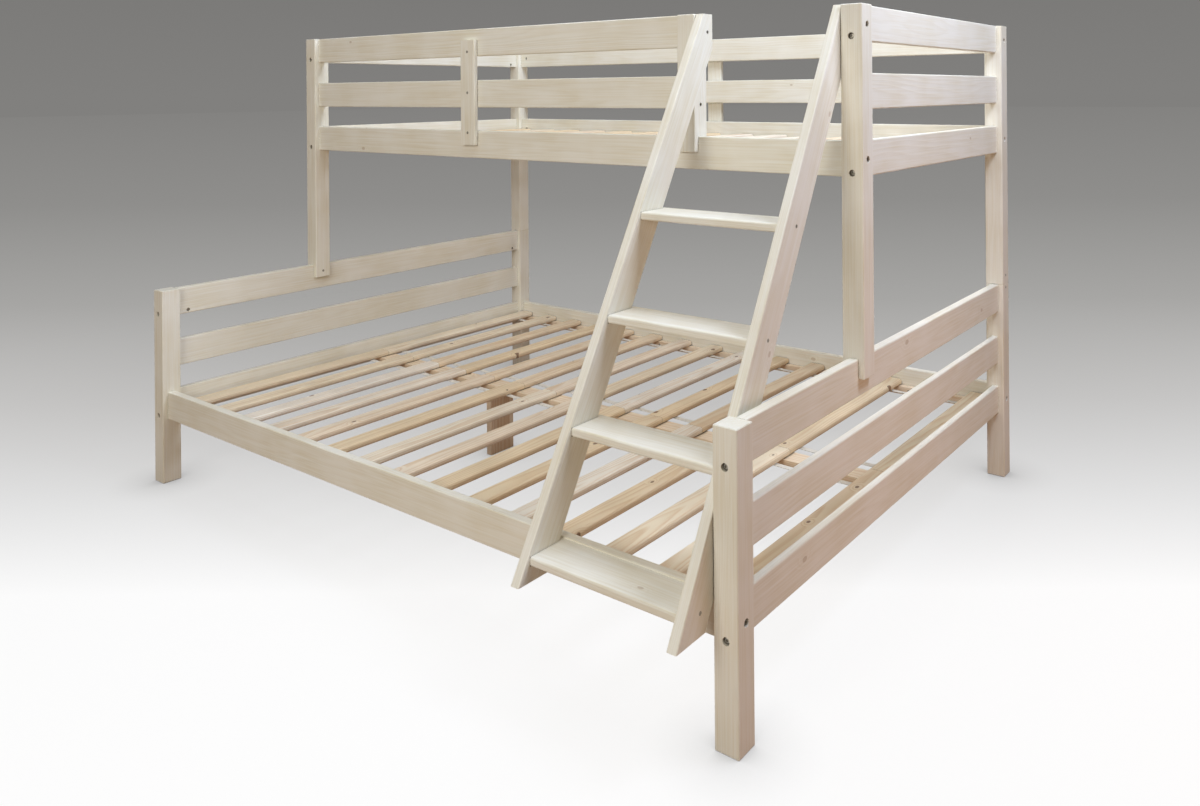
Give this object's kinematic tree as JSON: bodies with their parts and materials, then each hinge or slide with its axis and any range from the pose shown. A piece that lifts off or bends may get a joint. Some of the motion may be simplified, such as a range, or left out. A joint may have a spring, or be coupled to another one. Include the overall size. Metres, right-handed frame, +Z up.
{
  "type": "triple bunk bed",
  "caption": "Slatted wooden bunk bed with a wide lower bed, a narrow upper bed set to the rear, guard rails and a leaning ladder in front.",
  "frame": {"origin": "centre of the outer box on the floor plane; the ladder stands out in front, so this is 54.2 mm in front of the lower bed's middle", "axes": "+X along the bed towards the end beside the ladder, -Y towards the ladder side, +Z up"},
  "size_m": [2.09, 1.5984, 1.34],
  "materials": {
    "limewashed_pine": "satin",
    "natural_pine": "matte",
    "cotton_tape": "matte",
    "zinc": "satin"
  },
  "bodies": {
    "root": {"barrel_nuts": "zinc", "batten_screws": "zinc", "centre_beam": "natural_pine", "centre_beam_leg": "natural_pine", "fork_screws": "zinc", "frame_bolts": "zinc", "front_guard_batten": "limewashed_pine", "front_guard_middle_rail": "limewashed_pine", "front_guard_top_rail": "limewashed_pine", "guard_end_post": "limewashed_pine", "ladder_bolts": "zinc", "ladder_insert": "zinc", "ladder_left_stringer": "limewashed_pine", "ladder_right_stringer": "limewashed_pine", "ladder_tread_1": "limewashed_pine", "ladder_tread_2": "limewashed_pine", "ladder_tread_3": "limewashed_pine", "ladder_tread_4": "limewashed_pine", "ladder_tread_screws": "zinc", "ledger_screws": "zinc", "lower_front_ledger": "natural_pine", "lower_front_side_rail": "limewashed_pine", "lower_left_end_bed_rail": "limewashed_pine", "lower_left_end_middle_rail": "limewashed_pine", "lower_left_end_top_rail": "limewashed_pine", "lower_post_front_left": "limewashed_pine", "lower_post_front_right": "limewashed_pine", "lower_post_rear_left": "limewashed_pine", "lower_post_rear_right": "limewashed_pine", "lower_rear_ledger": "natural_pine", "lower_rear_side_rail": "limewashed_pine", "lower_right_end_bed_rail": "limewashed_pine", "lower_right_end_middle_rail": "limewashed_pine", "lower_right_end_top_rail": "limewashed_pine", "lower_slats_front": "natural_pine", "lower_slats_rear": "natural_pine", "lower_webbing_front": "cotton_tape", "lower_webbing_rear": "cotton_tape", "post_pin_screws": "zinc", "post_pins": "natural_pine", "rear_guard_batten": "limewashed_pine", "rear_guard_middle_rail": "limewashed_pine", "rear_guard_top_rail": "limewashed_pine", "upper_front_ledger": "natural_pine", "upper_front_side_rail": "limewashed_pine", "upper_left_end_bed_rail": "limewashed_pine", "upper_left_end_middle_rail": "limewashed_pine", "upper_left_end_top_rail": "limewashed_pine", "upper_post_front_left": "limewashed_pine", "upper_post_front_right": "limewashed_pine", "upper_post_rear_left": "limewashed_pine", "upper_post_rear_right": "limewashed_pine", "upper_rear_ledger": "natural_pine", "upper_rear_side_rail": "limewashed_pine", "upper_right_end_bed_rail": "limewashed_pine", "upper_right_end_middle_rail": "limewashed_pine", "upper_right_end_top_rail": "limewashed_pine", "upper_slats": "natural_pine", "upper_webbing": "cotton_tape"}
  },
  "joints": []
}
